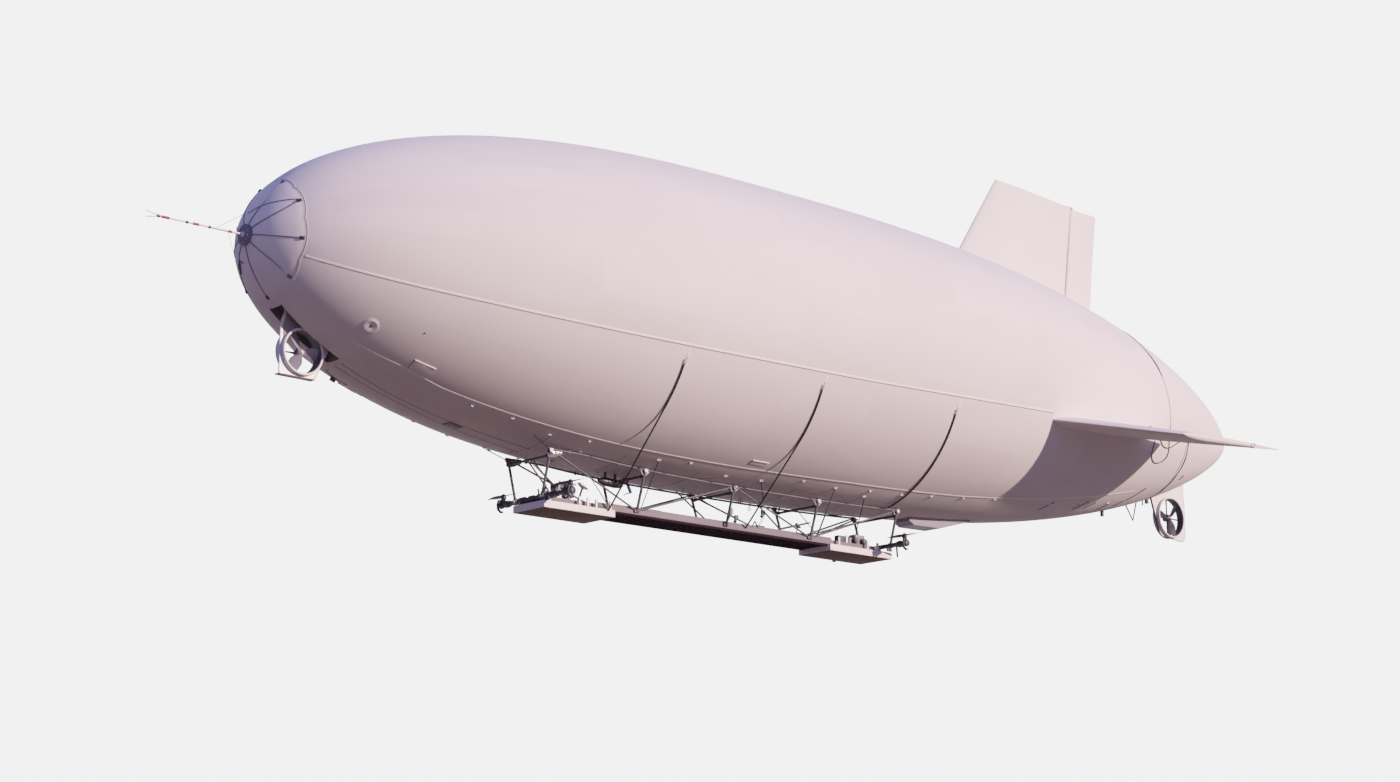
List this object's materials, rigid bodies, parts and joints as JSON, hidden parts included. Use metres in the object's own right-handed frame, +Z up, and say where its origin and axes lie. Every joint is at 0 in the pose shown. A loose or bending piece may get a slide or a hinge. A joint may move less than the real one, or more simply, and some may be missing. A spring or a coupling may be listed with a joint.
{
  "type": "1:10 scale model airship",
  "caption": "Non-rigid airship scale model: streamlined gas envelope, tail fins with control surfaces, open truss gondola with tilting propellers, and ducted side thrusters.",
  "frame": {"origin": "on the envelope's axis at the lift centre, where the air holds the airship up", "axes": "+X forward along the hull to the nose, +Y to port, +Z up"},
  "size_m": [12.0928, 3.9876, 3.7462],
  "materials": {
    "envelope_fabric": "satin coated fabric",
    "fin_fabric": "satin coated fabric",
    "dark_tube": "satin dark paint",
    "white_paint": "satin white paint",
    "deck_panel": "painted panel",
    "dark_metal": "dark grey paint",
    "rope_black": "matte rope",
    "engine_grey": "grey paint"
  },
  "bodies": {
    "hull": {"envelope": "envelope_fabric", "nose_cone": "dark_metal", "nose_boom": "white_paint", "gas_valve_port": "dark_metal", "gas_valve_starboard": "dark_metal", "top_fin": "fin_fabric", "port_fin": "fin_fabric", "starboard_fin": "fin_fabric", "bow_thruster_frame": "white_paint", "stern_thruster_frame": "white_paint", "truss_port": "dark_tube", "truss_starboard": "dark_tube", "cross_bar_1": "dark_tube", "cross_bar_2": "dark_tube", "cross_bar_3": "dark_tube", "cross_bar_4": "dark_tube", "cross_bar_5": "dark_tube", "front_platform": "deck_panel", "rear_platform": "deck_panel", "mid_deck": "deck_panel", "front_engine": "engine_grey", "rear_engine": "engine_grey", "front_boom": "dark_tube", "rear_boom": "dark_tube", "stay_front_port": "rope_black", "stay_front_starboard": "rope_black", "stay_middle_port": "rope_black", "stay_middle_starboard": "rope_black", "stay_rear_port": "rope_black", "stay_rear_starboard": "rope_black", "belly_fairing": "white_paint"},
    "rudder": {"rudder": "fin_fabric"},
    "port_elevator": {"port_elevator": "fin_fabric"},
    "starboard_elevator": {"starboard_elevator": "fin_fabric"},
    "bow_fan": {"bow_thruster_fan": "dark_metal"},
    "stern_fan": {"stern_thruster_fan": "dark_metal"},
    "front_port_head": {"front_port_head": "white_paint"},
    "front_starboard_head": {"front_starboard_head": "white_paint"},
    "rear_port_head": {"rear_port_head": "white_paint"},
    "rear_starboard_head": {"rear_starboard_head": "white_paint"},
    "front_port_propeller": {"front_port_propeller": "dark_metal"},
    "front_starboard_propeller": {"front_starboard_propeller": "dark_metal"},
    "rear_port_propeller": {"rear_port_propeller": "dark_metal"},
    "rear_starboard_propeller": {"rear_starboard_propeller": "dark_metal"}
  },
  "joints": [
    {"name": "rudder_hinge", "type": "hinge", "parent": "hull", "child": "rudder", "pos_m": [-3.81717, 0, 1.07116], "axis": [-0.1512, 0, 0.9885], "range_deg": [-25, 25]},
    {"name": "port_elevator_hinge", "type": "hinge", "parent": "hull", "child": "port_elevator", "pos_m": [-3.81602, 1.00145, -0.35937], "axis": [-0.1511, 0.9645, -0.2167], "range_deg": [-25, 25]},
    {"name": "starboard_elevator_hinge", "type": "hinge", "parent": "hull", "child": "starboard_elevator", "pos_m": [-3.81602, -1.00145, -0.35937], "axis": [-0.1511, -0.9645, -0.2167], "range_deg": [-25, 25]},
    {"name": "bow_fan_spin", "type": "hinge", "parent": "hull", "child": "bow_fan", "pos_m": [4.654, 0.016, -0.77115], "axis": [0, 1, 0], "continuous": true},
    {"name": "stern_fan_spin", "type": "hinge", "parent": "hull", "child": "stern_fan", "pos_m": [-5.25, 0.016, -0.80229], "axis": [0, 1, 0], "continuous": true},
    {"name": "front_port_tilt", "type": "hinge", "parent": "hull", "child": "front_port_head", "pos_m": [2.504, 0.4, -1.548], "axis": [0, 1, 0], "range_deg": [-30, 90]},
    {"name": "front_starboard_tilt", "type": "hinge", "parent": "hull", "child": "front_starboard_head", "pos_m": [2.504, -0.4, -1.548], "axis": [0, 1, 0], "range_deg": [-30, 90]},
    {"name": "rear_port_tilt", "type": "hinge", "parent": "hull", "child": "rear_port_head", "pos_m": [-1.118, 0.4, -1.548], "axis": [0, 1, 0], "range_deg": [-30, 90]},
    {"name": "rear_starboard_tilt", "type": "hinge", "parent": "hull", "child": "rear_starboard_head", "pos_m": [-1.118, -0.4, -1.548], "axis": [0, 1, 0], "range_deg": [-30, 90]},
    {"name": "front_port_spin", "type": "hinge", "parent": "front_port_head", "child": "front_port_propeller", "pos_m": [2.504, 0.4, -1.4792], "axis": [0, 0, 1], "continuous": true},
    {"name": "front_starboard_spin", "type": "hinge", "parent": "front_starboard_head", "child": "front_starboard_propeller", "pos_m": [2.504, -0.4, -1.4792], "axis": [0, 0, 1], "continuous": true},
    {"name": "rear_port_spin", "type": "hinge", "parent": "rear_port_head", "child": "rear_port_propeller", "pos_m": [-1.118, 0.4, -1.4792], "axis": [0, 0, 1], "continuous": true},
    {"name": "rear_starboard_spin", "type": "hinge", "parent": "rear_starboard_head", "child": "rear_starboard_propeller", "pos_m": [-1.118, -0.4, -1.4792], "axis": [0, 0, 1], "continuous": true}
  ]
}
